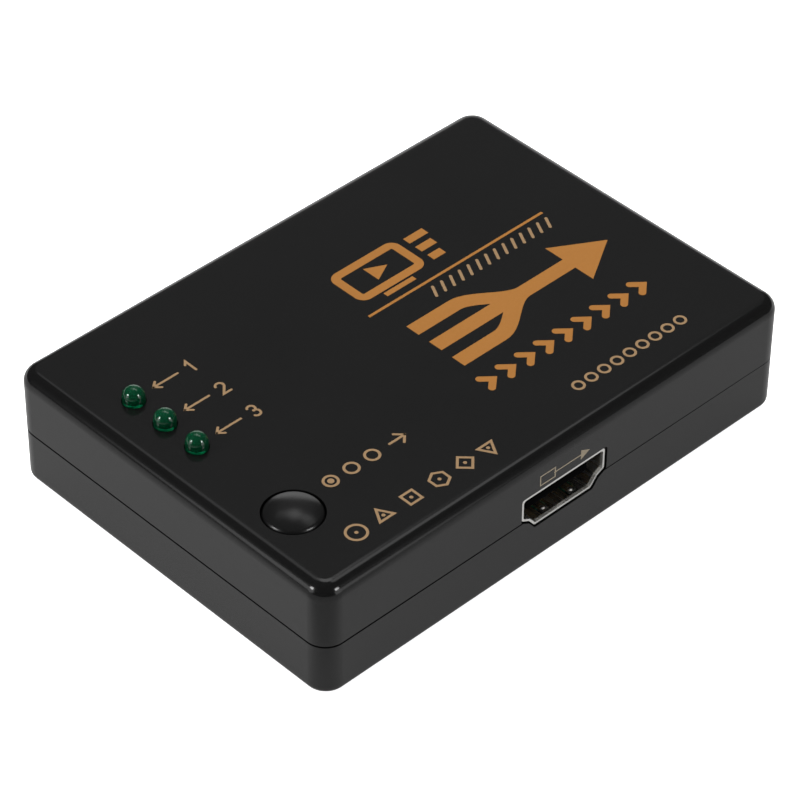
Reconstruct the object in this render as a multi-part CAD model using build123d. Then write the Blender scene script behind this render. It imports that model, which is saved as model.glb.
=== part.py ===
from build123d import *
import math
import os

# A small video switch box: two moulded shells round a circuit board.
# The output socket looks towards -Y, the three inputs towards +Y, the jacks towards +X.
# The origin is the middle of the underside, +Z is up. All lengths are millimetres.

# Casing
box_length = 82.0
box_width = 58.0
box_height = 17.6
corner_radius = 3.0
top_edge_radius = 2.0
base_edge_radius = 1.0
wall = 1.8
seam_height = 7.9
seam_gap_left = 0.28
seam_gap_right = 0.1
lip_thickness = 0.8
lip_height = 1.5
lip_clearance = 0.1
least_radius = 0.2
embed = 0.2
overrun = 1.0

# Posts and self tapping screws in the four corners
post_radius = 2.9
post_height = 2.95
post_wall_gap = 0.2
boss_radius = 2.4
screw_radius = 1.15
screw_length = 8.0
screw_head_radius = 1.9
screw_head_height = 1.5
screw_head_clearance = 0.15
screw_hole_clearance = 0.1
screw_recess_depth = 1.9
pilot_clearance = 0.05
pilot_spare = 0.8
driver_slot_width = 0.5
driver_slot_length = 2.3
driver_slot_depth = 0.8

# Circuit board
board_thickness = 1.6
board_gap = 0.3
board_screw_clearance = 0.2
lead_hole_clearance = 0.1
lead_proud = 0.9

# Indicator lamps, three in a row at the left hand side
lamp_count = 3
lamp_inset = 6.95
lamp_rear_inset = 15.45
lamp_pitch = 6.0
lamp_radius = 1.5
lamp_body_length = 4.3
lamp_flange_radius = 1.9
lamp_flange_height = 1.0
lamp_flat = 0.3
lamp_hole_clearance = 0.12
lamp_seat_gap = 0.3
lamp_wire = 0.5
lamp_wire_spread = 2.54
lamp_head_gap = 0.4
lamp_head_width = 0.85
lamp_head_height = 1.7
lamp_wire_fit = 0.02

# Push button and tact switch
button_inset = 7.5
button_front_inset = 13.5
cap_radius = 3.9
cap_gap = 0.2
cap_rim_rise = 0.02
cap_crown_rise = 1.0
cap_edge_radius = 0.8
cap_flange_width = 0.9
cap_flange_height = 0.8
cap_flange_gap = 0.2
cap_socket_depth = 1.2
button_travel = 0.3
switch_side = 6.0
switch_height = 3.5
switch_cover_thickness = 0.3
switch_tab_width = 2.4
switch_tab_drop = 1.8
switch_cavity_radius = 2.25
switch_cavity_depth = 1.7
plunger_radius = 1.75
plunger_collar_radius = 2.1
plunger_fit = 0.05
plunger_gap = 0.02
dome_radius = 2.0
dome_pressed_rise = 0.15
dome_thickness = 0.1
switch_lead_width = 0.7
switch_lead_thickness = 0.3
switch_lead_spread = 4.5
switch_lead_rise = 1.4

# Video sockets: one output in front, three inputs behind
output_offset = 0.25
input_count = 3
mouth_recess = 0.2
mouth_width = 14.0
mouth_height = 4.55
mouth_side = 2.75
mouth_shoulder_inset = 1.15
mouth_shoulder_drop = 0.6
mouth_foot_inset = 2.1
mouth_corner_radius = 0.45
socket_depth = 11.0
sheet = 0.3
flare = 0.1
flare_length = 0.4
cutout_gap = 0.25
finger_count = 2
finger_pitch = 5.0
finger_width = 1.3
finger_slot_gap = 0.2
finger_root = 6.2
finger_crest = 1.25
finger_tip = 0.65
finger_rise = 0.15
finger_curl = 0.1
dimple_radius = 0.55
dimple_rise = 0.38
leg_width = 1.2
leg_front = 4.2
leg_rear = 9.4
insert_front = 7.0
insert_clearance = 0.05
tongue_front = 1.2
tongue_width = 10.8
tongue_thickness = 1.1
contact_pitch = 1.0
contact_width = 0.35
contact_thickness = 0.15
contact_setback = 0.5
contact_top_count = 10
contact_fit = 0.02
contact_tail_gap = 0.25
contact_foot = 1.1

# Jacks on the right hand side
jack_recess = 0.2
jack_body_gap = 0.3
jack_width = 6.2
jack_length = 10.6
jack_height = 6.0
jack_axis_height = 3.0
jack_nose_radius = 2.7
jack_bore_radius = 1.8
jack_bore_depth = 9.6
jack_hole_clearance = 0.2
jack_lead_thickness = 0.35
jack_lead_width = 0.9
jack_lead_setback = 4.6
jack_lead_pitch = 2.2
eye_jack_lead_count = 3
power_jack_lead_count = 2
power_pin_radius = 0.65
power_pin_neck_radius = 0.45
power_pin_setback = 1.2
power_pin_fit = 0.03
eye_jack_share = 0.15
power_jack_share = -0.15

# Parts on the board
chip_side = 10.0
chip_height = 1.2
chip_standoff = 0.1
chip_edge_chamfer = 0.12
chip_leads_per_side = 16
chip_lead_pitch = 0.5
chip_lead_width = 0.22
small_chip_length = 4.9
small_chip_width = 3.9
small_chip_height = 1.45
small_chip_leads_per_side = 4
small_chip_lead_pitch = 1.27
small_chip_lead_width = 0.42
wing_thickness = 0.15
wing_reach = 1.0
wing_foot = 0.55
regulator_length = 6.5
regulator_width = 3.5
regulator_height = 1.6
regulator_lead_count = 3
regulator_lead_pitch = 2.3
regulator_lead_width = 0.7
regulator_tab_width = 3.0
crystal_length = 10.8
crystal_width = 4.4
crystal_height = 3.4
crystal_rim = 0.35
crystal_rim_height = 0.4
crystal_edge_radius = 0.44
capacitor_radius = 2.5
capacitor_height = 5.4
capacitor_base_side = 5.3
capacitor_base_height = 0.9
capacitor_base_chamfer = 0.95
capacitor_waist = 0.15
capacitor_waist_height = 0.9
array_length = 2.5
array_width = 1.2
array_height = 0.6
array_gap = 0.7
arrays_per_socket = 3
array_pitch = 3.6
ceramic_length = 1.6
ceramic_width = 0.8
ceramic_height = 0.8
resistor_length = 1.6
resistor_width = 0.8
resistor_height = 0.45
resistors_per_socket = 6
resistor_pitch = 1.5
chip_shares = (0.0, 0.0)
small_chip_shares = (-0.235, -0.13)
regulator_shares = (0.27, -0.16)
crystal_shares = (-0.235, 0.09)
capacitor_shares = (0.22, -0.36)
ceramic_shares = (
    (-0.12, -0.10),
    (-0.12, -0.05),
    (-0.12, 0.05),
    (-0.12, 0.10),
    (0.12, -0.05),
    (0.12, 0.0),
    (0.12, 0.05),
    (0.12, 0.10),
    (0.20, -0.08),
    (0.30, -0.30),
    (-0.33, -0.02),
    (-0.33, -0.08),
)
resistor_shares = (
    (-0.37, 0.24),
    (-0.37, 0.14),
    (-0.37, 0.04),
    (-0.24, -0.28),
    (-0.20, -0.28),
    (0.18, 0.12),
    (0.22, 0.12),
    (0.24, 0.02),
)

# Places and heights that follow from the sizes above
half_length = box_length / 2
half_width = box_width / 2
ceiling = box_height - wall
board_bottom = wall + post_height
board_top = board_bottom + board_thickness
lead_depth = board_thickness + lead_proud
inner_length = box_length - 2 * wall
inner_width = box_width - 2 * wall
inner_radius = max(corner_radius - wall, least_radius)
board_length = inner_length - 2 * board_gap
board_width = inner_width - 2 * board_gap
post_inset = wall + post_wall_gap + post_radius
post_x = half_length - post_inset
post_y = half_width - post_inset
lamp_x = lamp_inset - half_length
lamp_bottom = ceiling - lamp_seat_gap - lamp_flange_height
button_x = button_inset - half_length
button_y = button_front_inset - half_width
cap_bottom = ceiling - cap_flange_gap - cap_flange_height
plunger_top = cap_bottom + cap_socket_depth
switch_base_top = board_top + switch_height - switch_cover_thickness
switch_cavity_floor = switch_base_top - switch_cavity_depth
dome_rise = button_travel + dome_pressed_rise
mouth_top = sheet + mouth_height
tongue_middle = sheet + mouth_height / 2
input_pitch = 2 * (post_x - boss_radius) / input_count
jack_nose_length = wall - jack_recess + jack_body_gap
jack_end = jack_nose_length + jack_length

X_WAY = (1, 0, 0)
Y_WAY = (0, 1, 0)
LOW_ALIGN = (Align.CENTER, Align.CENTER, Align.MIN)
CORNERS = [(side, end) for side in (-1, 1) for end in (-1, 1)]


def slab(length, width, radius, low, high):
    """A flat block with rounded upright corners, centred on the origin."""
    outline = RectangleRounded(length, width, radius)
    return extrude(Pos(0, 0, low) * outline, high - low)


def block(low, high):
    """A box from its low corner to its high corner."""
    size = [upper - lower for lower, upper in zip(low, high)]
    return Pos(*low) * Box(*size, align=(Align.MIN, Align.MIN, Align.MIN))


def centred_block(x, y, length, width, low, high):
    """A box centred on x and y, from low to high."""
    return Pos(x, y, low) * Box(length, width, high - low, align=LOW_ALIGN)


def rod(x, y, low, high, radius):
    """An upright cylinder from low to high."""
    return Pos(x, y, low) * Cylinder(radius, high - low, align=LOW_ALIGN)


def level_rod(start, end, height, radius):
    """A cylinder along Y from start to end, with its axis at a height."""
    return Pos(0, start, height) * Rot(-90, 0, 0) * Cylinder(radius, end - start, align=LOW_ALIGN)


def strip(points, x, width):
    """A bent strip: its side view as (y, z) points, given a width about x."""
    outline = make_face(Polyline(*[(0, y, z) for y, z in points], close=True))
    return extrude(Pos(x - width / 2, 0, 0) * outline, width, dir=X_WAY)


def row(count, pitch):
    """Evenly spaced places about zero."""
    return [(index - (count - 1) / 2) * pitch for index in range(count)]


def on_board(shares):
    """A place on the board's top, from shares of its length and width."""
    return shares[0] * board_length, shares[1] * board_width


def solids_of(parts):
    """One node that holds several separate solids."""
    return Compound([solid for part in parts for solid in part.solids()])


# Where the sockets and jacks stand

def output_place():
    return Location((output_offset, mouth_recess - half_width, board_top))


def input_places():
    rear = half_width - mouth_recess
    return [Location((-x, rear, board_top), (0, 0, 180)) for x in row(input_count, input_pitch)]


def jack_place(share):
    return Location((half_length - jack_recess, share * box_width, board_top), (0, 0, 90))


def lamp_places():
    rear = half_width - lamp_rear_inset
    return [(lamp_x, rear - index * lamp_pitch) for index in range(lamp_count)]


# Video socket, in its own frame: mouth at y = 0 looking towards -Y, board top at z = 0

def mouth_face(grow, y):
    """The socket's outline, grown all round, standing at a depth y."""
    half = mouth_width / 2
    side_low = mouth_top - mouth_side
    right = [
        (half, mouth_top),
        (half, side_low),
        (half - mouth_shoulder_inset, side_low - mouth_shoulder_drop),
        (half - mouth_foot_inset, sheet),
    ]
    left = [(-x, z) for x, z in reversed(right)]
    outline = make_face(Polyline(*right, *left, close=True))
    if grow:
        outline = offset(outline, grow, kind=Kind.INTERSECTION)
    outline = fillet(outline.vertices(), mouth_corner_radius)
    return Pos(0, y, 0) * (Plane.XZ * outline)


def mouth_prism(grow, start, end):
    return extrude(mouth_face(grow, start), end - start, dir=Y_WAY)


def mouth_flare(grow):
    """The funnel at the mouth, which opens by the flare towards the plug."""
    return loft([mouth_face(grow + flare, 0), mouth_face(grow, flare_length)], ruled=True)


def finger_points(base, way):
    """Side view of a spring finger that bends inwards from the wall at base."""
    inner = [(finger_root, 0), (finger_crest, finger_rise), (finger_tip, finger_rise - finger_curl)]
    outer = [(y, z + sheet) for y, z in reversed(inner)]
    return [(y, base + way * z) for y, z in inner + outer]


def finger(x, base, way):
    """A spring finger with a round dimple at its crest, which presses on the plug."""
    blade = strip(finger_points(base, way), x, finger_width)
    middle = base + way * (sheet + finger_rise + dimple_rise - dimple_radius)
    dimple = Sphere(dimple_radius, min(way, 0) * 90, max(way, 0) * 90)
    return blade + Pos(x, finger_crest, middle) * dimple


def socket_shell():
    outer = mouth_prism(sheet, flare_length, socket_depth) + mouth_flare(sheet)
    inner = mouth_prism(0, flare_length, socket_depth + overrun) + mouth_flare(0)
    shell = outer - inner
    slot_half = finger_width / 2 + finger_slot_gap
    slot_front = finger_tip - finger_slot_gap
    for x in row(finger_count, finger_pitch):
        for low in (0, mouth_top):
            slot = block((x - slot_half, slot_front, low), (x + slot_half, finger_root, low + sheet))
            shell -= slot
        shell += finger(x, 0, 1)
        shell += finger(x, mouth_top + sheet, -1)
    leg_x = mouth_width / 2 + sheet / 2
    leg_top = mouth_top - mouth_side / 2
    for side in (-1, 1):
        for y in (leg_front, leg_rear):
            shell += centred_block(side * leg_x, y, sheet, leg_width, -lead_depth, leg_top)
    return shell


def contact_rows():
    """Places along X and the lower face's height of each contact strip."""
    top_height = tongue_middle + tongue_thickness / 2
    low_height = tongue_middle - tongue_thickness / 2 - contact_thickness
    top = [(x, top_height) for x in row(contact_top_count, contact_pitch)]
    low = [(x, low_height) for x in row(contact_top_count - 1, contact_pitch)]
    return top + low


def socket_insert():
    body = mouth_prism(-insert_clearance, insert_front, socket_depth)
    tongue_low = tongue_middle - tongue_thickness / 2
    tongue = block(
        (-tongue_width / 2, tongue_front, tongue_low),
        (tongue_width / 2, insert_front + overrun, tongue_low + tongue_thickness),
    )
    body += tongue
    channel_half = contact_width / 2 + contact_fit
    for x, low in contact_rows():
        high = low + contact_thickness + contact_fit
        body -= block(
            (x - channel_half, insert_front - overrun, low - contact_fit),
            (x + channel_half, socket_depth + overrun, high),
        )
    return body


def socket_contacts():
    front = tongue_front + contact_setback
    tail = socket_depth + contact_tail_gap
    back = tail + contact_thickness
    foot = tail + contact_foot
    parts = []
    for x, low in contact_rows():
        high = low + contact_thickness
        points = [
            (front, low),
            (tail, low),
            (tail, 0),
            (foot, 0),
            (foot, contact_thickness),
            (back, contact_thickness),
            (back, high),
            (front, high),
        ]
        parts.append(strip(points, x, contact_width))
    return solids_of(parts)


def socket_cutter():
    """What the shells lose round a socket's mouth."""
    grow = sheet + flare + cutout_gap
    return mouth_prism(grow, -mouth_recess - overrun, wall - mouth_recess + overrun)


# Jacks, in their own frame: mouth at y = 0 looking towards -Y, board top at z = 0

def jack_body(bore_end):
    half = jack_width / 2
    body = block((-half, jack_nose_length, 0), (half, jack_end, jack_height))
    body += level_rod(0, jack_nose_length + overrun, jack_axis_height, jack_nose_radius)
    body -= level_rod(-overrun, bore_end, jack_axis_height, jack_bore_radius)
    return body


def jack_lead_places(count):
    """Depths of the spring leads that come up through the jack's floor."""
    first = jack_nose_length + jack_lead_setback
    return [first + index * jack_lead_pitch for index in range(count)]


def jack_lead(y, grow):
    """A flat lead from under the board up to the bore, grown to cut its slot."""
    top = jack_axis_height - math.sqrt(jack_bore_radius**2 - (jack_lead_thickness / 2) ** 2)
    width = jack_lead_thickness + 2 * grow
    return centred_block(0, y, width, jack_lead_width + 2 * grow, -lead_depth, top - contact_fit + grow)


def jack_with_slots(bore_end, count):
    body = jack_body(bore_end)
    for y in jack_lead_places(count):
        body -= jack_lead(y, contact_fit)
    return body


def jack_leads(count):
    return solids_of([jack_lead(y, 0) for y in jack_lead_places(count)])


def eye_jack_body():
    return jack_with_slots(jack_nose_length + jack_bore_depth, eye_jack_lead_count)


def power_jack_body():
    body = jack_with_slots(jack_nose_length + jack_bore_depth, power_jack_lead_count)
    hole = power_pin_neck_radius + power_pin_fit
    return body - level_rod(0, jack_end + overrun, jack_axis_height, hole)


def power_jack_pin():
    """The centre pin, its neck through the jack's rear wall and its lead behind."""
    back = jack_end + jack_lead_thickness
    shoulder = jack_nose_length + jack_bore_depth
    pin = level_rod(power_pin_setback, shoulder, jack_axis_height, power_pin_radius)
    pin += level_rod(power_pin_setback, back, jack_axis_height, power_pin_neck_radius)
    half = jack_lead_width / 2
    high = jack_axis_height + power_pin_radius
    return pin + block((-half, jack_end, -lead_depth), (half, back, high))


def jack_cutter():
    """What the shells lose round a jack's nose."""
    inside = wall - jack_recess + overrun
    return level_rod(-jack_recess - overrun, inside, jack_axis_height, jack_nose_radius + jack_hole_clearance)


# Casing shells

def outlets():
    """Everything that the two shells lose for sockets and jacks."""
    socket = socket_cutter()
    jack = jack_cutter()
    cuts = [output_place() * socket]
    cuts += [place * socket for place in input_places()]
    cuts += [jack_place(share) * jack for share in (eye_jack_share, power_jack_share)]
    return cuts


def seam_wedge():
    """The shadow gap under the lid's rim, which closes tighter at the right hand end."""
    out = half_length + overrun
    points = [
        (-out, seam_height - overrun),
        (out, seam_height - overrun),
        (out, seam_height + seam_gap_right),
        (-out, seam_height + seam_gap_left),
    ]
    back = half_width + overrun
    outline = Plane.XZ * make_face(Polyline(*points, close=True))
    return extrude(Pos(0, -back, 0) * outline, 2 * back, dir=Y_WAY)


def top_shell():
    low = seam_height - overrun
    shell = slab(box_length, box_width, corner_radius, seam_height, box_height)
    shell = fillet(shell.edges().group_by(Axis.Z)[-1], top_edge_radius)
    shell -= seam_wedge()
    shell -= slab(inner_length, inner_width, inner_radius, low, ceiling)
    skirt = wall - lip_thickness - lip_clearance
    skirt_radius = max(corner_radius - skirt, least_radius)
    lip_top = seam_height + lip_height
    shell -= slab(box_length - 2 * skirt, box_width - 2 * skirt, skirt_radius, low, lip_top)
    pilot_top = screw_recess_depth + screw_length + pilot_spare
    for side, end in CORNERS:
        x, y = side * post_x, end * post_y
        shell += rod(x, y, board_top, ceiling + embed, boss_radius)
        shell -= rod(x, y, board_top - overrun, pilot_top, screw_radius + pilot_clearance)
    for x, y in lamp_places():
        shell -= rod(x, y, ceiling - overrun, box_height + overrun, lamp_radius + lamp_hole_clearance)
    shell -= rod(button_x, button_y, ceiling - overrun, box_height + overrun, cap_radius + cap_gap)
    for cut in outlets():
        shell -= cut
    return shell


def bottom_shell():
    shell = slab(box_length, box_width, corner_radius, 0, seam_height)
    shell = fillet(shell.edges().group_by(Axis.Z)[0], base_edge_radius)
    lip_inset = wall - lip_thickness
    lip_radius = max(corner_radius - lip_inset, least_radius)
    lip_length = box_length - 2 * lip_inset
    lip_width = box_width - 2 * lip_inset
    shell += slab(lip_length, lip_width, lip_radius, seam_height - embed, seam_height + lip_height)
    high = seam_height + lip_height + overrun
    shell -= slab(inner_length, inner_width, inner_radius, wall, high)
    for side, end in CORNERS:
        x, y = side * post_x, end * post_y
        shell += rod(x, y, wall - embed, board_bottom, post_radius)
        shell -= rod(x, y, -overrun, screw_recess_depth, screw_head_radius + screw_head_clearance)
        shell -= rod(x, y, 0, board_bottom + overrun, screw_radius + screw_hole_clearance)
    for cut in outlets():
        shell -= cut
    return shell


def case_screw():
    head_low = screw_recess_depth - screw_head_height
    screw = rod(0, 0, head_low, screw_recess_depth, screw_head_radius)
    screw += rod(0, 0, screw_recess_depth - embed, screw_recess_depth + screw_length, screw_radius)
    slot_top = head_low + driver_slot_depth
    slot_low = head_low - overrun
    screw -= centred_block(0, 0, driver_slot_length, driver_slot_width, slot_low, slot_top)
    screw -= centred_block(0, 0, driver_slot_width, driver_slot_length, slot_low, slot_top)
    return screw


def case_screws():
    screw = case_screw()
    return solids_of([Pos(side * post_x, end * post_y, 0) * screw for side, end in CORNERS])


# Indicator lamps, in their own frame: axis at x = y = 0, underside of the flange at z = 0

def lamp_leads(grow):
    """Two wires with their heads inside the lens, grown to cut their cavity."""
    half = lamp_wire / 2 + grow
    wire_y = lamp_wire_spread / 2
    inner = lamp_head_gap / 2 - grow
    head_outer = lamp_head_gap / 2 + lamp_head_width + grow
    bend_low = (lamp_flange_height - lamp_wire) / 2 - grow
    bend_high = (lamp_flange_height + lamp_wire) / 2 + grow
    low = board_top - lead_depth - lamp_bottom
    parts = []
    for side in (-1, 1):
        wire = centred_block(0, side * wire_y, 2 * half, 2 * half, low, bend_high)
        edges = sorted((side * inner, side * (wire_y + half)))
        wire += block((-half, edges[0], bend_low), (half, edges[1], bend_high))
        edges = sorted((side * inner, side * head_outer))
        wire += block((-half, edges[0], bend_low), (half, edges[1], bend_high + lamp_head_height + grow))
        parts.append(wire)
    return solids_of(parts)


def lamp_lens():
    dome_height = lamp_flange_height + lamp_body_length - lamp_radius
    lens = rod(0, 0, 0, lamp_flange_height, lamp_flange_radius)
    flat_x = lamp_flange_radius - lamp_flat
    lens -= centred_block(flat_x + overrun, 0, 2 * overrun, 2 * lamp_flange_radius, 0, lamp_flange_height)
    lens += rod(0, 0, 0, dome_height, lamp_radius)
    lens += Pos(0, 0, dome_height) * Sphere(lamp_radius)
    return lens - lamp_leads(lamp_wire_fit)


# Push button and tact switch, in their own frame: axis at x = y = 0, true heights

def cap_barrel():
    """The cap's turned outside: straight sides, a rounded edge and a crown."""
    rim = box_height + cap_rim_rise
    crown = rim + cap_crown_rise
    ball_radius = (cap_radius**2 + cap_crown_rise**2) / (2 * cap_crown_rise)
    half = cap_radius / 2
    middle = crown - ball_radius + math.sqrt(ball_radius**2 - half**2)
    outline = Polyline((0, crown), (0, cap_bottom), (cap_radius, cap_bottom), (cap_radius, rim))
    outline += ThreePointArc((cap_radius, rim), (half, middle), (0, crown))
    face = make_face(outline)
    edge = face.vertices().group_by(Axis.X)[-1].sort_by(Axis.Y)[-1]
    return revolve(Plane.XZ * fillet(edge, cap_edge_radius), Axis.Z)


def button_cap():
    flange_top = ceiling - cap_flange_gap
    cap = cap_barrel() + rod(0, 0, cap_bottom, flange_top, cap_radius + cap_flange_width)
    return cap - rod(0, 0, cap_bottom - overrun, plunger_top, plunger_radius + plunger_fit)


def switch_plunger():
    low = switch_cavity_floor + dome_rise + plunger_gap
    high = switch_base_top - plunger_gap
    return rod(0, 0, low, high, plunger_collar_radius) + rod(0, 0, low, plunger_top, plunger_radius)


def switch_base():
    base = centred_block(0, 0, switch_side, switch_side, board_top, switch_base_top)
    return base - rod(0, 0, switch_cavity_floor, switch_base_top + overrun, switch_cavity_radius)


def switch_cover():
    top = board_top + switch_height
    tab_low = switch_base_top - switch_tab_drop
    cover = centred_block(0, 0, switch_side, switch_side, switch_base_top, top)
    tab_y = (switch_side + switch_cover_thickness) / 2
    for side in (-1, 1):
        y = side * tab_y
        cover += centred_block(0, y, switch_tab_width, switch_cover_thickness, tab_low, top)
    return cover - rod(0, 0, switch_base_top - overrun, top + overrun, plunger_radius + plunger_fit)


def switch_dome():
    """A thin snap dome that stands on the cavity's floor under the plunger."""
    ball = (dome_radius**2 + dome_rise**2) / (2 * dome_rise)
    top = switch_cavity_floor + dome_rise
    centre = Pos(0, 0, top - ball)
    shell = centre * Sphere(ball) - centre * Sphere(ball - dome_thickness)
    return shell & rod(0, 0, switch_cavity_floor, top + overrun, dome_radius)


def switch_lead_places():
    x = (switch_side + switch_lead_thickness) / 2
    y = switch_lead_spread / 2
    return [(side * x, end * y) for side, end in CORNERS]


def switch_leads():
    low = board_top - lead_depth
    high = board_top + switch_lead_rise
    return solids_of(
        centred_block(x, y, switch_lead_thickness, switch_lead_width, low, high)
        for x, y in switch_lead_places()
    )


# Board and the parts soldered to it

def board_holes():
    """Circles as (x, y, radius) and slots as (x, y, length, width)."""
    screw = screw_radius + board_screw_clearance
    circles = [(side * post_x, end * post_y, screw) for side, end in CORNERS]
    wire = lamp_wire * math.sqrt(2) / 2 + lead_hole_clearance
    for x, y in lamp_places():
        circles += [(x, y + step, wire) for step in row(2, lamp_wire_spread)]
    grow = 2 * lead_hole_clearance
    length = switch_lead_thickness + grow
    width = switch_lead_width + grow
    slots = [(button_x + x, button_y + y, length, width) for x, y in switch_lead_places()]
    leg_x = (mouth_width + sheet) / 2
    for place in [output_place()] + input_places():
        for x in (-leg_x, leg_x):
            for y in (leg_front, leg_rear):
                spot = (place * Pos(x, y, 0)).position
                slots.append((spot.X, spot.Y, sheet + grow, leg_width + grow))
    for share, count in ((eye_jack_share, eye_jack_lead_count), (power_jack_share, power_jack_lead_count)):
        for y in jack_lead_places(count):
            spot = (jack_place(share) * Pos(0, y, 0)).position
            slots.append((spot.X, spot.Y, jack_lead_width + grow, jack_lead_thickness + grow))
    spot = (jack_place(power_jack_share) * Pos(0, jack_end + jack_lead_thickness / 2, 0)).position
    slots.append((spot.X, spot.Y, jack_lead_thickness + grow, jack_lead_width + grow))
    return circles, slots


def circuit_board():
    outline = RectangleRounded(board_length, board_width, inner_radius)
    circles, slots = board_holes()
    outline -= [Pos(x, y) * Circle(radius) for x, y, radius in circles]
    outline -= [Pos(x, y) * Rectangle(length, width) for x, y, length, width in slots]
    return extrude(Pos(0, 0, board_bottom) * outline, board_thickness)


def wing(height, width, side):
    """A gull wing lead that leaves a body's face at y = side and stands on the board."""
    level = height / 2
    bend = side + (wing_reach - wing_foot)
    points = [
        (side, level),
        (bend - wing_thickness, level),
        (bend - wing_thickness, 0),
        (side + wing_reach, 0),
        (side + wing_reach, wing_thickness),
        (bend, wing_thickness),
        (bend, level + wing_thickness),
        (side, level + wing_thickness),
    ]
    return strip(points, 0, width)


def wings(place, turns, count, pitch, width, side, height):
    """Rows of leads on the faces of a chip, one row for each turn about Z."""
    lead = wing(height, width, side)
    x, y = on_board(place)
    spots = []
    for turn in turns:
        spots += [Pos(x, y, board_top) * Rot(0, 0, turn) * Pos(step, 0, 0) for step in row(count, pitch)]
    return solids_of([spot * lead for spot in spots])


def chip_block(place, length, width, height):
    x, y = on_board(place)
    low = board_top + chip_standoff
    body = centred_block(x, y, length, width, low, board_top + height)
    return chamfer(body.edges().group_by(Axis.Z)[-1], chip_edge_chamfer)


def switch_chip():
    return chip_block(chip_shares, chip_side, chip_side, chip_height)


def switch_chip_leads():
    turns = (0, 90, 180, 270)
    return wings(
        chip_shares, turns, chip_leads_per_side, chip_lead_pitch, chip_lead_width, chip_side / 2, chip_height
    )


def controller_chip():
    return chip_block(small_chip_shares, small_chip_length, small_chip_width, small_chip_height)


def controller_chip_leads():
    return wings(
        small_chip_shares, (0, 180), small_chip_leads_per_side, small_chip_lead_pitch,
        small_chip_lead_width, small_chip_width / 2, small_chip_height,
    )


def regulator_body():
    return chip_block(regulator_shares, regulator_length, regulator_width, regulator_height)


def regulator_leads():
    half = regulator_width / 2
    pins = wings(
        regulator_shares, (0,), regulator_lead_count, regulator_lead_pitch,
        regulator_lead_width, half, regulator_height,
    )
    tab = wings(regulator_shares, (180,), 1, 0, regulator_tab_width, half, regulator_height)
    return solids_of([pins, tab])


def crystal_can():
    x, y = on_board(crystal_shares)
    top = SlotOverall(crystal_length, crystal_width)
    rim = SlotOverall(crystal_length + 2 * crystal_rim, crystal_width + 2 * crystal_rim)
    can = extrude(Pos(x, y, board_top) * rim, crystal_rim_height)
    can += extrude(Pos(x, y, board_top) * top, crystal_height)
    return fillet(can.edges().group_by(Axis.Z)[-1], crystal_edge_radius)


def capacitor_base():
    x, y = on_board(capacitor_shares)
    side = capacitor_base_side
    base = centred_block(x, y, side, side, board_top, board_top + capacitor_base_height)
    corners = base.edges().filter_by(Axis.Z).group_by(Axis.X)[-1]
    return chamfer(corners, capacitor_base_chamfer)


def capacitor_can():
    x, y = on_board(capacitor_shares)
    low = board_top + capacitor_base_height
    high = board_top + capacitor_height
    can = rod(x, y, low, high, capacitor_radius)
    can -= Pos(x, y, low + capacitor_waist_height) * Torus(capacitor_radius, capacitor_waist)
    return fillet(can.edges().group_by(Axis.Z)[-1], capacitor_waist)


def socket_rows(count, pitch, setback, length, width, height):
    """Small parts in a row behind every socket's tails."""
    y = socket_depth + contact_tail_gap + contact_foot + setback
    parts = []
    for place in [output_place()] + input_places():
        parts += [place * centred_block(x, y, length, width, 0, height) for x in row(count, pitch)]
    return parts


def surge_arrays():
    setback = array_gap + array_width / 2
    return solids_of(
        socket_rows(arrays_per_socket, array_pitch, setback, array_length, array_width, array_height)
    )


def placed_chips(places, length, width, height):
    parts = []
    for shares in places:
        x, y = on_board(shares)
        parts.append(centred_block(x, y, length, width, board_top, board_top + height))
    return parts


def ceramic_capacitors():
    return solids_of(placed_chips(ceramic_shares, ceramic_width, ceramic_length, ceramic_height))


def chip_resistors():
    setback = 2 * array_gap + array_width + resistor_length / 2
    rows = socket_rows(
        resistors_per_socket, resistor_pitch, setback, resistor_width, resistor_length, resistor_height
    )
    loose = placed_chips(resistor_shares, resistor_width, resistor_length, resistor_height)
    return solids_of(rows + loose)


def socket_nodes():
    """Shell, insert and contacts of each video socket, by node name."""
    shell, insert, contacts = socket_shell(), socket_insert(), socket_contacts()
    places = {"output": output_place()}
    for index, place in enumerate(input_places(), start=1):
        places[f"input_{index}"] = place
    nodes = {}
    for name, place in places.items():
        nodes[f"{name}_socket_shell"] = place * shell
        nodes[f"{name}_socket_insert"] = place * insert
        nodes[f"{name}_socket_contacts"] = place * contacts
    return nodes


def lamp_nodes():
    lens, leads = lamp_lens(), lamp_leads(0)
    nodes = {}
    for index, (x, y) in enumerate(lamp_places(), start=1):
        nodes[f"lamp_{index}_lens"] = Pos(x, y, lamp_bottom) * lens
        nodes[f"lamp_{index}_leads"] = Pos(x, y, lamp_bottom) * leads
    return nodes


def button_nodes():
    makers = (button_cap, switch_plunger, switch_base, switch_cover, switch_dome, switch_leads)
    return {maker.__name__: Pos(button_x, button_y, 0) * maker() for maker in makers}


def jack_nodes():
    eye = jack_place(eye_jack_share)
    power = jack_place(power_jack_share)
    return {
        "eye_jack_body": eye * eye_jack_body(),
        "eye_jack_leads": eye * jack_leads(eye_jack_lead_count),
        "power_jack_body": power * power_jack_body(),
        "power_jack_leads": power * jack_leads(power_jack_lead_count),
        "power_jack_pin": power * power_jack_pin(),
    }


def board_nodes():
    makers = (
        circuit_board, switch_chip, switch_chip_leads, controller_chip, controller_chip_leads,
        regulator_body, regulator_leads, crystal_can, capacitor_base, capacitor_can,
        surge_arrays, ceramic_capacitors, chip_resistors,
    )
    return {maker.__name__: maker() for maker in makers}


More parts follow.
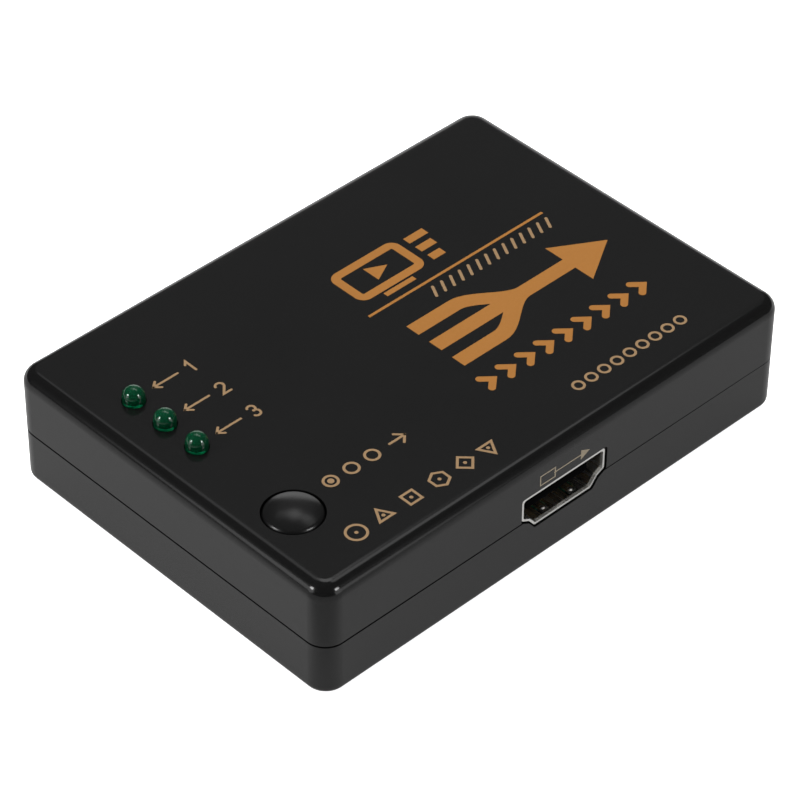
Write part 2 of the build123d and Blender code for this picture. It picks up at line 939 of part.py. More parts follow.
def main():
    nodes = {"top_shell": top_shell(), "bottom_shell": bottom_shell(), "case_screws": case_screws()}
    nodes |= button_nodes()
    nodes |= lamp_nodes()
    nodes |= socket_nodes()
    nodes |= jack_nodes()
    nodes |= board_nodes()
    os.makedirs("parts", exist_ok=True)
    for name, shape in nodes.items():
        export_step(shape, f"parts/{name}.step")
    print(len(nodes), "nodes written")


main()
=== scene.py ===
# %% [markdown]
# A small video switch box
#
# The real object is two moulded black shells round a circuit board. Three green lamps and a
# push button come through the lid, and plugs go into sockets in the walls. The CAD model
# already has every piece at its true size, so this lesson only dresses it: it adds the
# finish of each piece, the copper coloured print, and lamps that light can pass through.

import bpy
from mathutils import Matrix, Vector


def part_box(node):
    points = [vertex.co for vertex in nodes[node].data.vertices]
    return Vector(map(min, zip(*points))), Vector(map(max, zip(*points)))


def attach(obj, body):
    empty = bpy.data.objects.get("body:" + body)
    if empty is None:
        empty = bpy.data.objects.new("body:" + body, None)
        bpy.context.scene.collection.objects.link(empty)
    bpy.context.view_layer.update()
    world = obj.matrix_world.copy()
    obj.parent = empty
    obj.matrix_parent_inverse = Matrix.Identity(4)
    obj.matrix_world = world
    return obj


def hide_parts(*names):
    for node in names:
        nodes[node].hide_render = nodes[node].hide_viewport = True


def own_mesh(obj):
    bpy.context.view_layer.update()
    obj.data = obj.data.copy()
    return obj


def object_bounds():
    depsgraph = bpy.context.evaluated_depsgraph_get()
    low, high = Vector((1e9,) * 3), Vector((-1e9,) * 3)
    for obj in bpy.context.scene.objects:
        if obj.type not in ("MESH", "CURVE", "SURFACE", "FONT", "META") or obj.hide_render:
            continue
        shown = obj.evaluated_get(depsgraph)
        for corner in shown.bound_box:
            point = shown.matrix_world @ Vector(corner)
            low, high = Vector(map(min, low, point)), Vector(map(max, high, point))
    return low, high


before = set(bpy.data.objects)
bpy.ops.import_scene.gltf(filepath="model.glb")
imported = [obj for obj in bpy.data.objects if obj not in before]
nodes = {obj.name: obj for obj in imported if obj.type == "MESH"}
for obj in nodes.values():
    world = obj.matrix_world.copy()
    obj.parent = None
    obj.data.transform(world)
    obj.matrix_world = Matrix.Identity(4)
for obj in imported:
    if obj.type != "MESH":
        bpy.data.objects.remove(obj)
cad_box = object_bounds()
MM = 0.001
print(len(nodes), "CAD nodes, box", [[round(x / MM, 2) for x in corner] for corner in cad_box])

# %% Tools used throughout
import math

import bmesh
import bpy
from mathutils import Matrix, Vector

lid_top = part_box("top_shell")[1].z
print("lid top at", round(lid_top / MM, 3), "mm")

# %% [markdown]
# The camera
#
# The photograph looks down on the corner between the output socket and the button. Its
# place was solved from the outline of the case: a long lens stands half a metre away.
# The camera is set from those angles directly, because an aim constraint can't hold a roll.

# %% Camera
camera_azimuth = math.radians(-44.036)
camera_elevation = math.radians(40.897)
camera_roll = math.radians(0.433)
camera_distance = 482.4 * MM
camera_lens = 166.94
camera_sensor = 36.0
nearest_seen = 0.01
furthest_seen = 20.0
aim_height = 9.0 * MM
slide_right = 0.463 * MM
slide_up = 2.308 * MM


def camera_axes():
    """The camera's right, up and backward directions."""
    level = math.cos(camera_elevation)
    back = Vector((
        math.sin(camera_azimuth) * level,
        -math.cos(camera_azimuth) * level,
        math.sin(camera_elevation),
    ))
    right = Vector((math.cos(camera_azimuth), math.sin(camera_azimuth), 0.0))
    up = back.cross(right)
    turned_right = right * math.cos(camera_roll) + up * math.sin(camera_roll)
    return turned_right, back.cross(turned_right), back


camera = bpy.data.objects.new("camera", bpy.data.cameras.new("camera"))
bpy.context.scene.collection.objects.link(camera)
bpy.context.scene.camera = camera
right, up, back = camera_axes()
camera.matrix_world = Matrix((right, up, back)).transposed().to_4x4()
camera.location = (
    Vector((0, 0, aim_height)) + back * camera_distance - right * slide_right - up * slide_up
)
camera.data.sensor_width = camera_sensor
camera.data.lens = camera_lens
camera.data.clip_start = nearest_seen
camera.data.clip_end = furthest_seen
bpy.context.scene.view_settings.view_transform = "Standard"
print("camera at", [round(x / MM, 1) for x in camera.location], "mm")

# %% [markdown]
# Sums on shader sockets
#
# A finish is a net of nodes, and most of those nodes only do sums. It could be wired node by
# node, but the formula then gets lost. One small class wraps a socket, so that a mask is
# written as ordinary Python, and each operator adds its Math node. Every other node
# comes from one method that takes its type, its settings and its sockets.

# %% Sockets that can be added and multiplied
class Wire:
    """A socket in a finish that takes part in ordinary sums."""

    def __init__(self, finish, socket):
        self.finish = finish
        self.socket = socket

    def maths(self, operation, *values):
        settings = {"operation": operation}
        return self.finish.node("ShaderNodeMath", settings, dict(enumerate(values)))

    def __add__(self, other):
        return self.maths("ADD", self, other)

    def __radd__(self, other):
        return self.maths("ADD", other, self)

    def __sub__(self, other):
        return self.maths("SUBTRACT", self, other)

    def __rsub__(self, other):
        return self.maths("SUBTRACT", other, self)

    def __mul__(self, other):
        return self.maths("MULTIPLY", self, other)

    def __rmul__(self, other):
        return self.maths("MULTIPLY", other, self)

    def __abs__(self):
        return self.maths("ABSOLUTE", self)

    def __lt__(self, other):
        return self.maths("LESS_THAN", self, other)

    def __gt__(self, other):
        return self.maths("GREATER_THAN", self, other)

    def modulo(self, other):
        return self.maths("FLOORED_MODULO", self, other)

    def larger(self, other):
        return self.maths("MAXIMUM", self, other)

    def limited(self):
        """The same value, kept between 0 and 1."""
        return self.maths("MINIMUM", self.larger(0.0), 1.0)


print("sockets can be added, multiplied and compared")


# %% A finish under construction
class Finish:
    """One material: nodes go in by type, and its surface is set at the end."""

    def __init__(self, name):
        self.material = bpy.data.materials.new(name)
        self.material.use_nodes = True
        self.tree = self.material.node_tree
        self.tree.nodes.clear()

    def node(self, kind, settings, sockets, output=0):
        """A new node: its settings first, then the values or links of its sockets."""
        made = self.tree.nodes.new(kind)
        for name, value in settings.items():
            setattr(made, name, value)
        for name, value in sockets.items():
            if isinstance(value, Wire):
                self.tree.links.new(value.socket, made.inputs[name])
            else:
                made.inputs[name].default_value = value
        return Wire(self, made.outputs[output]) if len(made.outputs) else None

    def place(self):
        """Where a surface point is, in the part's own frame, in metres."""
        return self.node("ShaderNodeTexCoord", {}, {}, "Object")

    def split(self, vector):
        """X, Y and Z of a vector as three wires."""
        first = self.node("ShaderNodeSeparateXYZ", {}, {0: vector})
        return [Wire(self, output) for output in first.socket.node.outputs]

    def axes(self):
        """X, Y and Z of a surface point, in millimetres."""
        return [axis * (1 / MM) for axis in self.split(self.place())]

    def facing(self):
        """X, Y and Z of the surface's normal."""
        return self.split(self.node("ShaderNodeNewGeometry", {}, {}, "Normal"))

    def noise(self, scale, detail=2.0, stretch=(1.0, 1.0, 1.0)):
        """Soft noise from 0 to 1, with so many blobs to the metre."""
        stretched = self.node(
            "ShaderNodeVectorMath", {"operation": "MULTIPLY"}, {0: self.place(), 1: stretch}
        )
        sockets = {"Vector": stretched, "Scale": scale, "Detail": detail}
        return self.node("ShaderNodeTexNoise", {}, sockets, "Fac")

    def mixed(self, factor, first, second):
        """A colour between two colours, which are a Mix node's inputs 6 and 7."""
        sockets = {0: factor, 6: first, 7: second}
        return self.node("ShaderNodeMix", {"data_type": "RGBA"}, sockets, 2)

    def bump(self, height, strength, distance):
        """A normal tilted by a height from 0 to 1 that stands for a real distance."""
        sockets = {"Height": height, "Strength": strength, "Distance": distance}
        return self.node("ShaderNodeBump", {}, sockets)

    def surface(self, **sockets):
        """Ends the finish with one principled surface and gives the material."""
        named = {name.replace("_", " "): value for name, value in sockets.items()}
        shader = self.node("ShaderNodeBsdfPrincipled", {}, named)
        self.node("ShaderNodeOutputMaterial", {}, {"Surface": shader})
        return self.material


def colour(red, green, blue):
    return (red, green, blue, 1.0)


def grey(value):
    return colour(value, value, value)


print("shader tools ready")

# %% [markdown]
# The floor
#
# A black glossy case shows what it mirrors more than its own colour. In the photograph the
# upright sides are a lighter grey than the top, because they mirror the white table, and
# the rounded rim is almost black, because it looks over the table's edge into a dark room.
# One floor could serve for both, but a table that is white enough to lose its shadows gives
# sides that are too light. So the camera sees a bright floor, and mirrors see a greyer one.
# That one glows a little more on the left, where the wall of the box is lighter, and most
# behind the box, where the far edges mirror it. A patch below the camera is darker, and
# the near corner mirrors that.

# %% Stage pieces
floor_half = 3000.0 * MM
floor_drop = 0.3 * MM
mirror_drop = 0.02 * MM
floor_tone = 0.86
floor_glow = 0.92
mirror_tone = 0.10
left_glow = 0.56
front_glow = 0.45
back_glow = 0.95
camera_glow = 0.34
board_roughness = 0.9
mottle_scale = 6.0
mottle_share = 0.98

# Where the glow changes, in millimetres, which is what a finish measures in.
glow_span = 60.0
camera_edge = 72.0
camera_span = 12.0


def stage_square(name, height, tone, left, front, behind, below):
    """A big level square of matt board, with a glow for each side and for below the camera."""
    mesh = bpy.data.meshes.new(name)
    ends = ((-1, -1), (1, -1), (1, 1), (-1, 1))
    corners = [(floor_half * a, floor_half * b, height) for a, b in ends]
    mesh.from_pydata(corners, [], [(0, 1, 2, 3)])
    piece = bpy.data.objects.new(name, mesh)
    bpy.context.scene.collection.objects.link(piece)
    finish = Finish(name)
    x, y = finish.axes()[:2]
    leftness = (0.5 + (y - x) * (1 / glow_span)).limited()
    backness = ((x + y) * (1 / glow_span) - 0.5).limited()
    nearness = ((x + y + camera_edge) * (-1 / camera_span)).limited()
    sides = finish.mixed(leftness, grey(front), grey(left))
    near = finish.mixed(nearness, sides, grey(below))
    mottle = finish.noise(mottle_scale, detail=3.0)
    mesh.materials.append(finish.surface(
        Base_Color=finish.mixed(mottle, grey(tone), grey(tone * mottle_share)),
        Roughness=board_roughness,
        Specular_IOR_Level=0.0,
        Emission_Color=finish.mixed(backness, near, grey(behind)),
        Emission_Strength=1.0,
    ))
    return piece


floor = stage_square("floor", -floor_drop, floor_tone, *[floor_glow] * 4)
floor.visible_glossy = False
mirrored_floor = stage_square(
    "mirrored_floor", -mirror_drop, mirror_tone,
    left=left_glow, front=front_glow, behind=back_glow, below=camera_glow,
)
mirrored_floor.visible_camera = False
mirrored_floor.visible_diffuse = False
mirrored_floor.visible_transmission = False
mirrored_floor.visible_shadow = False
print("two floors laid")

# %% [markdown]
# The lights
#
# A softbox is a lamp behind white cloth. In a glossy case each one shows as a patch of its
# own size and brightness, so it is placed by the two angles that it is seen at, and not by
# trial in metres. On the left and in front a small bright core stands high in a dim wide
# cloth, and their arcs run round the button and the lamps. The level lid mirrors mostly
# the haze, which stands opposite the camera. The rounded rim, the button's crown and the
# lamps pick up the rest. A picture of a studio could do it all, but its lights can't be moved.

# %% Lights
light_distance = 0.9
room_tone = 0.06


def softbox(name, azimuth, elevation, spread, radiance, mirrored=True):
    """A round light that faces the box; its azimuth is counted from +Y towards +X.

    The spread is the half angle that it fills, and the radiance is its brightness
    where a white page in the picture has 1.
    """
    turn, rise = math.radians(azimuth), math.radians(elevation)
    level = math.cos(rise)
    place = Vector((math.sin(turn) * level, math.cos(turn) * level, math.sin(rise)))
    radius = light_distance * math.tan(math.radians(spread))
    area = math.pi * radius * radius
    lamp = bpy.data.lights.new(name, "AREA")
    lamp.shape = "DISK"
    lamp.size = 2 * radius
    lamp.energy = math.pi * area * radiance
    light = bpy.data.objects.new(name, lamp)
    light.location = place * light_distance
    light.rotation_euler = place.to_track_quat("Z", "Y").to_euler()
    light.visible_glossy = mirrored
    light.visible_camera = False
    bpy.context.scene.collection.objects.link(light)


softbox("left_core", azimuth=-70, elevation=31, spread=7.5, radiance=17.0)
softbox("left_cloth", azimuth=-70, elevation=17, spread=15, radiance=1.7)
softbox("front_core", azimuth=165, elevation=32, spread=7.5, radiance=16.0)
softbox("front_cloth", azimuth=165, elevation=11, spread=15, radiance=1.55)
softbox("overhead", azimuth=44, elevation=64, spread=10, radiance=1.9)
softbox("overhead_right", azimuth=89, elevation=63, spread=9, radiance=1.5)
softbox("overhead_left", azimuth=12, elevation=57, spread=8, radiance=0.65)
softbox("haze", azimuth=46, elevation=46, spread=24, radiance=0.14)
softbox("backdrop", azimuth=45, elevation=2, spread=20, radiance=1.0)
softbox("fill", azimuth=15, elevation=72, spread=42, radiance=3.0, mirrored=False)

world = bpy.data.worlds.new("room")
bpy.context.scene.world = world
world.use_nodes = True
room = world.node_tree.nodes["Background"]
room.inputs["Color"].default_value = grey(room_tone)
room.inputs["Strength"].default_value = 1.0
print("lights:", [light.name for light in bpy.data.lights])

# %% [markdown]
# Moulded black plastic
#
# The shells are black ABS out of a polished mould. A flat black of one gloss would look like
# painted glass. Close up the real surface has a faint orange peel, a finer grain, and
# small changes of gloss, and three sizes of noise give these. All of it is measured in the
# part's own frame, so it stays put in any view. The small sign over the output socket
# is a mask in the shell's finish, because the films of ink made further on lie on the lid.

# %% Sign on the front wall, in millimetres
front_wall = cad_box[0][1] / MM
wall_reach = 0.1
mark_height = 13.3
mark_line = 0.10
mark_box_x = -2.9
mark_box_half_width = 1.4
mark_box_half_height = 0.85
mark_shaft_x = 0.8
mark_shaft_half = 2.6
mark_head_start = 3.0
mark_head_tip = 4.6
mark_head_slope = 0.5


def arrow_mark(x, y, z):
    """An arrow out of a box, as a mask."""
    border = 2 * mark_line
    aside = abs(x - mark_box_x)
    above = abs(z - mark_height)
    outer = (aside < mark_box_half_width) * (above < mark_box_half_height)
    inner = (aside < mark_box_half_width - border) * (above < mark_box_half_height - border)
    shaft = (abs(x - mark_shaft_x) < mark_shaft_half) * (above < mark_line)
    head = (above < (mark_head_tip - x) * mark_head_slope) * (x > mark_head_start)
    on_wall = y < front_wall + wall_reach
    return ((outer - inner).larger(shaft).larger(head) * on_wall).limited()


print("front wall at", round(front_wall, 2), "mm")

# %% Shell finish
cloud_scale = 55.0
cloud_spread = 0.1
cloud_dullness = 0.05
grain_scale = 5200.0
grain_dullness = 0.03
peel_scale = 420.0
peel_share = 0.8
peel_strength = 0.12
peel_depth = 0.02 * MM
plastic_ior = 1.42
plastic_tone = 0.0040
mark_colour = colour(0.16, 0.13, 0.085)
mark_dullness = 0.2


def moulded_black(name, gloss, front_mark=False):
    finish = Finish(name)
    cloud = finish.noise(cloud_scale, detail=3.0)
    grain = finish.noise(grain_scale)
    peel = finish.noise(peel_scale)
    dark = grey(plastic_tone * (1 - cloud_spread))
    light = grey(plastic_tone * (1 + cloud_spread))
    base = finish.mixed(cloud, dark, light)
    roughness = gloss + cloud_dullness * cloud + grain_dullness * grain
    if front_mark:
        mark = arrow_mark(*finish.axes())
        base = finish.mixed(mark, base, mark_colour)
        roughness = roughness + mark_dullness * mark
    height = peel_share * peel + (1 - peel_share) * grain
    return finish.surface(
        Base_Color=base,
        Roughness=roughness,
        IOR=plastic_ior,
        Normal=finish.bump(height, peel_strength, peel_depth),
    )


shell_black = moulded_black("shell_black", gloss=0.11, front_mark=True)
button_black = moulded_black("button_black", gloss=0.22)
print("black plastics made")

# %% [markdown]
# Plated metal
#
# The sockets are folded from thin nickel plated sheet, the leads are tinned, and the
# contacts have a wash of gold. Each is a metal with fine lines that follow how it was
# rolled or drawn, which a stretched noise gives without any picture. The bumps that
# are pressed into the sockets' sheet scatter light more than the flat sheet does.
# Their normals lean between Y and Z, and that is how the finish finds them.

# %% Metal finishes
line_scale = 900.0
line_dullness = 0.14
line_strength = 0.25
line_depth = 0.01 * MM
stain_scale = 140.0
stain_dullness = 0.06
stain_share = 0.82
even = (1.0, 1.0, 1.0)
bump_lean = 0.3
bump_rate = 6.0


def plated(name, tint, gloss, stretch=even, pressed=0.0):
    """A metal; its lines run along the axis that the stretch makes small."""
    finish = Finish(name)
    lines = finish.noise(line_scale, detail=3.0, stretch=stretch)
    stain = finish.noise(stain_scale, detail=3.0)
    stained = [channel * stain_share for channel in tint]
    roughness = gloss + line_dullness * lines + stain_dullness * stain
    if pressed:
        forward, upward = finish.facing()[1:]
        lean = abs(forward) * abs(upward)
        roughness = roughness + pressed * ((lean - bump_lean) * bump_rate).limited()
    return finish.surface(
        Base_Color=finish.mixed(stain, colour(*tint), colour(*stained)),
        Metallic=1.0,
        Roughness=roughness,
        Normal=finish.bump(lines, line_strength, line_depth),
    )


socket_steel = plated("socket_steel", (0.93, 0.92, 0.89), 0.16, (1.0, 0.08, 1.0), pressed=0.36)
contact_gold = plated("contact_gold", (0.86, 0.62, 0.26), 0.18, (1.0, 0.1, 1.0))
screw_steel = plated("screw_steel", (0.40, 0.40, 0.41), 0.28)
tinned_copper = plated("tinned_copper", (0.72, 0.72, 0.71), 0.24, (1.0, 1.0, 0.1))
switch_steel = plated("switch_steel", (0.62, 0.62, 0.60), 0.22, (0.1, 1.0, 1.0))
can_aluminium = plated("can_aluminium", (0.78, 0.78, 0.79), 0.25, (1.0, 1.0, 0.06))
print("metals made")

# %% [markdown]
# Matt mouldings and board
#
# The insides of the sockets and jacks, the switch and the chips are matt mouldings with a
# visible grain. The insert of a socket is painted far darker than the other black mouldings
# and takes no shine at all. This is painted shade for the mouth of a socket, which is the
# blackest thing on the box. The board has a green solder mask over copper tracks. They could
# be modelled, but they are thinner than paper, so a mask of lanes that noise bends raises
# them a little. The small chips have tinned ends.

# %% Matt plastics
matt_cloud_scale = 120.0
matt_dark_share = 0.8
matt_light_share = 1.3
matt_roughness = 0.42
matt_dullness = 0.2
matt_strength = 0.35
matt_depth = 0.02 * MM


def matt_moulding(name, tone, grain_scale=2600.0, shine=0.5):
    finish = Finish(name)
    grain = finish.noise(grain_scale, detail=3.0)
    cloud = finish.noise(matt_cloud_scale)
    dark = grey(tone * matt_dark_share)
    light = grey(tone * matt_light_share)
    return finish.surface(
        Base_Color=finish.mixed(cloud, dark, light),
        Roughness=matt_roughness + matt_dullness * grain,
        Specular_IOR_Level=shine,
        Normal=finish.bump(grain, matt_strength, matt_depth),
    )


# The insert's very dark tone and its zero shine are painted shade for the socket mouth.
insert_black = matt_moulding("insert_black", 0.0015, shine=0.0)
switch_plastic = matt_moulding("switch_plastic", 0.016)
chip_black = matt_moulding("chip_black", 0.020, grain_scale=4200.0)
print("matt plastics made")

# %% Board, with lanes in millimetres
mask_green = colour(0.006, 0.085, 0.030)
track_green = colour(0.014, 0.150, 0.050)
lane_pitch = 1.6
lane_width = 0.5
lane_sway = 14.0
cross_pitch = 2.4
cross_width = 0.45
cross_sway = 11.0
track_crowding = 0.9
track_height = 0.035 * MM
track_strength = 0.5
mask_roughness = 0.24
mask_dullness = 0.1
mask_cloud_scale = 70.0
lane_bend_scale = 45.0


def solder_mask():
    finish = Finish("board_green")
    x, y = finish.axes()[:2]
    cloud = finish.noise(mask_cloud_scale, detail=3.0)
    bend = finish.noise(lane_bend_scale, detail=1.0)
    lanes = (x * track_crowding + bend * lane_sway).modulo(lane_pitch) < lane_width
    crossing = (y * track_crowding + bend * cross_sway).modulo(cross_pitch) < cross_width
    tracks = ((bend > 0.5) * lanes + (bend < 0.5) * crossing).limited()
    return finish.surface(
        Base_Color=finish.mixed(tracks, mask_green, track_green),
        Roughness=mask_roughness + mask_dullness * cloud,
        Normal=finish.bump(tracks, track_strength, track_height),
    )


board_green = solder_mask()
print("board finish made")

# %% Small chips with tinned ends
end_lean = 0.7
end_tin = colour(0.70, 0.70, 0.69)
end_gloss = 0.2
light_body_share = 1.25
body_roughness = 0.5
body_dullness = 0.1
body_strength = 0.3
body_depth = 0.02 * MM


def end_capped(name, body_colour, grain_scale):
    """A coloured body whose ends along Y are dipped in tin."""
    finish = Finish(name)
    grain = finish.noise(grain_scale)
    ends = (abs(finish.facing()[1]) > end_lean).limited()
    lighter = [channel * light_body_share for channel in body_colour]
    body = finish.mixed(grain, colour(*body_colour), colour(*lighter))
    return finish.surface(
        Base_Color=finish.mixed(ends, body, end_tin),
        Metallic=ends,
        Roughness=body_roughness - end_gloss * ends + body_dullness * grain,
        Normal=finish.bump(grain, body_strength, body_depth),
    )


ceramic_tan = end_capped("ceramic_tan", (0.40, 0.27, 0.15), 1500.0)
resistor_black = end_capped("resistor_black", (0.02, 0.02, 0.022), 1800.0)
print("chip finishes made")

# %% [markdown]
# Dressing the CAD nodes
#
# Nearly all the CAD nodes have the right shape already, so they aren't modelled again. Each
# could have a material of its own, but a real box is made from a few stock materials.
# So each finish goes to all the nodes that are made of it. The lenses wait for the next
# step, where new ones stand for them.

# %% Dress the CAD nodes
def dress(material, *patterns):
    """Gives CAD nodes a material and counts them. A first star stands for any beginning."""
    dressed = 0
    for name, node in nodes.items():
        for pattern in patterns:
            starred = pattern.startswith("*") and name.endswith(pattern[1:])
            if name == pattern or starred:
                node.data.materials.clear()
                node.data.materials.append(material)
                dressed += 1
    return dressed


count = dress(shell_black, "top_shell", "bottom_shell")
count += dress(button_black, "button_cap")
count += dress(screw_steel, "case_screws")
count += dress(socket_steel, "*_socket_shell", "power_jack_pin")
# Socket inserts and jack bodies get the black with painted shade.
count += dress(insert_black, "*_socket_insert", "eye_jack_body", "power_jack_body")
count += dress(contact_gold, "*_socket_contacts")
count += dress(switch_plastic, "switch_plunger", "switch_base")
count += dress(switch_steel, "switch_cover", "switch_dome")
count += dress(tinned_copper, "*_leads")
count += dress(board_green, "circuit_board")
count += dress(chip_black, "switch_chip", "controller_chip", "regulator_body", "surge_arrays")
count += dress(chip_black, "capacitor_base")
count += dress(resistor_black, "chip_resistors")
count += dress(ceramic_tan, "ceramic_capacitors")
count += dress(can_aluminium, "crystal_can", "capacitor_can")
lenses = [name for name in nodes if name.endswith("_lens")]
print(count, "of", len(nodes), "CAD nodes dressed, all but the lenses:", lenses)

# %% [markdown]
# Lamps
#
# An indicator lamp is one casting of dyed epoxy with its two leads set in it. The CAD lens
# has a hollow round the leads, and a gap of air there would show as a silver skin. So the
# lens is turned again here as one unbroken surface, with the sizes of the node that it
# stands for. It could be painted green, but only a clear body lets light through to the
# small cup and die inside, which is what the eye sees in such a lamp when it is off.

# %% Dyed epoxy
dark_dye = colour(0.000, 0.100, 0.036)
light_dye = colour(0.001, 0.140, 0.056)
epoxy_ior = 1.53
epoxy_clearness = 0.75
epoxy_haze_scale = 600.0
epoxy_roughness = 0.06
epoxy_dullness = 0.05


def dyed_epoxy():
    finish = Finish("lamp_green")
    haze = finish.noise(epoxy_haze_scale)
    return finish.surface(
        Base_Color=finish.mixed(haze, dark_dye, light_dye),
        Roughness=epoxy_roughness + epoxy_dullness * haze,
        IOR=epoxy_ior,
        Transmission_Weight=epoxy_clearness,
    )


lamp_green = dyed_epoxy()
die_gold = plated("die_gold", (0.80, 0.66, 0.36), 0.3)
print("lamp finishes made")

# %% Meshes that become pieces
sharp_angle = math.radians(40)


def finished(mesh, name, centre):
    """Turns a bmesh into an object whose mesh lies in the part's frame."""
    mesh.normal_update()
    for edge in mesh.edges:
        sharp = len(edge.link_faces) == 2 and edge.calc_face_angle(0) > sharp_angle
        edge.smooth = not sharp
    for face in mesh.faces:
        face.smooth = True
    bmesh.ops.translate(mesh, verts=mesh.verts, vec=centre)
    data = bpy.data.meshes.new(name)
    mesh.to_mesh(data)
    mesh.free()
    piece = bpy.data.objects.new(name, data)
    bpy.context.scene.collection.objects.link(piece)
    return piece


def added(piece, material):
    """Gives a piece its material and lets it ride on the case."""
    piece.data.materials.append(material)
    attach(piece, "case")


print("edges are sharp from", round(math.degrees(sharp_angle)), "degrees")


# %% A turned shape
def turned(name, profile, centre, segments=96, flat_x=math.inf):
    """A closed lathe shape from (radius, height) points, cut flat at flat_x on its +X side."""
    mesh = bmesh.new()
    rings = []
    for radius, height in profile:
        if radius == 0:
            rings.append([mesh.verts.new((0, 0, height))])
            continue
        ring = []
        for step in range(segments):
            angle = 2 * math.pi * step / segments
            x = min(radius * math.cos(angle), flat_x)
            ring.append(mesh.verts.new((x, radius * math.sin(angle), height)))
        rings.append(ring)
    for lower, upper in zip(rings, rings[1:]):
        for step in range(segments):
            after = (step + 1) % segments
            if len(lower) == 1:
                mesh.faces.new((lower[0], upper[after], upper[step]))
            elif len(upper) == 1:
                mesh.faces.new((lower[step], lower[after], upper[0]))
            else:
                mesh.faces.new((lower[step], lower[after], upper[after], upper[step]))
    return finished(mesh, name, centre)


print("lathe ready")

# %% Lamp lenses
flange_radius = 1.9 * MM
flange_height = 1.0 * MM
flange_flat = 1.6 * MM
lens_radius = 1.5 * MM
edge_round = 0.12 * MM
dome_steps = 24


def lens_profile(height):
    """Flange, barrel and dome of a lens, from its underside to its tip."""
    dome = height - lens_radius
    points = [
        (0, 0),
        (flange_radius - edge_round, 0),
        (flange_radius, edge_round),
        (flange_radius, flange_height - edge_round),
        (flange_radius - edge_round, flange_height),
        (lens_radius + edge_round, flange_height),
        (lens_radius, flange_height + edge_round),
    ]
    for step in range(dome_steps + 1):
        angle = math.pi / 2 * step / dome_steps
        radius = 0 if step == dome_steps else lens_radius * math.cos(angle)
        points.append((radius, dome + lens_radius * math.sin(angle)))
    return points


lamp_names = ["lamp_1", "lamp_2", "lamp_3"]
lamp_centres = {}
for name in lamp_names:
    low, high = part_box(f"{name}_lens")
    centre = Vector((low.x + flange_radius, (low.y + high.y) / 2, low.z))
    lens = turned(f"{name}_clear_lens", lens_profile(high.z - low.z), centre, flat_x=flange_flat)
    added(lens, lamp_green)
    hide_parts(f"{name}_lens")
    lamp_centres[name] = centre
print("lenses at", {n: [round(v / MM, 2) for v in c] for n, c in lamp_centres.items()})

# %% Cup and die inside each lens
cup_radius = 0.42 * MM
cup_foot_share = 0.8
cup_lip = 0.06 * MM
cup_height = 0.32 * MM
cup_floor = 0.12 * MM
cup_well = 0.2 * MM
cup_aside = 0.62 * MM
die_half = 0.13 * MM
die_height = 0.1 * MM
die_edge_share = 0.15


def cup_profile():
    """Up the outside of the cup, over its lip and down to its floor."""
    return [
        (0, 0),
        (cup_radius * cup_foot_share, 0),
        (cup_radius, cup_height),
        (cup_radius - cup_lip, cup_height),
        (cup_well, cup_floor),
        (0, cup_floor),
    ]


def die_block(name, centre):
    """A tiny block with broken edges."""
    mesh = bmesh.new()
    bmesh.ops.create_cube(mesh, size=1.0)
    bmesh.ops.scale(mesh, vec=(2 * die_half, 2 * die_half, die_height), verts=mesh.verts)
    bmesh.ops.bevel(
        mesh, geom=list(mesh.edges), offset=die_height * die_edge_share, segments=2,
        affect="EDGES",
    )
    return finished(mesh, name, centre)


for name in lamp_names:
    leads_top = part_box(f"{name}_leads")[1].z
    seat = Vector((lamp_centres[name].x, lamp_centres[name].y - cup_aside, leads_top))
    cup = turned(f"{name}_cup", cup_profile(), seat, segments=48)
    added(cup, tinned_copper)
    die = die_block(f"{name}_die", seat + Vector((0, 0, cup_floor + die_height / 2)))
    added(die, die_gold)
print("cups and dies set on the leads")

# %% [markdown]
# Snap dome
#
# Under the button's plunger sits a thin steel dome, which buckles when the button goes down.
# A CAD node keeps its shape at every pose, and a turned dome of the same size stands for it.
# The real one turns inside out, which a shape key could show, but nobody sees it there.

# %% Snap dome under the plunger
dome_sheet = 0.1 * MM
dome_rings = 16


def dome_profile(radius, rise):
    """The underside from the middle out to the rim, then the top from the rim back."""
    ball = (radius * radius + rise * rise) / (2 * rise)
    drop = ball - rise
    inner = ball - dome_sheet
    rim = math.sqrt(inner * inner - drop * drop)
    under = [rim * step / dome_rings for step in range(dome_rings + 1)]
    over = [radius * step / dome_rings for step in reversed(range(dome_rings + 1))]
    points = [(reach, math.sqrt(inner * inner - reach * reach) - drop) for reach in under]
    points += [(reach, math.sqrt(ball * ball - reach * reach) - drop) for reach in over]
    return points


low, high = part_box("switch_dome")
dome_seat = Vector(((low.x + high.x) / 2, (low.y + high.y) / 2, low.z))
dome_rise = high.z - low.z
dome = turned("snap_dome", dome_profile((high.x - low.x) / 2, dome_rise), dome_seat, segments=64)
added(dome, switch_steel)
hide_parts("switch_dome")
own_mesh(dome)
print("dome rises", round(dome_rise / MM, 2), "mm at rest")

# %% [markdown]
# Print
#
# Ink on plastic is a film a few hundredths of a millimetre thick. It could be a mask in the
# shell's finish, but a film of its own keeps its edge sharp from any distance, and shows
# in the exported meshes. The marks are plain numbers, arrows, rings and signs, in a
# copper ink for the large ones and a paler ink for the fine ones.

# %% Ink
speckle_scale = 2400.0
patch_scale = 160.0
ink_shine = 0.25
ink_roughness = 0.5
ink_dullness = 0.15
ink_strength = 0.3
ink_depth = 0.01 * MM


def ink(name, tint, dark):
    finish = Finish(name)
    speckle = finish.noise(speckle_scale, detail=3.0)
    patch = finish.noise(patch_scale)
    return finish.surface(
        Base_Color=finish.mixed((speckle + patch) * 0.5, colour(*tint), colour(*dark)),
        Roughness=ink_roughness + ink_dullness * speckle,
        Specular_IOR_Level=ink_shine,
        Normal=finish.bump(speckle, ink_strength, ink_depth),
    )


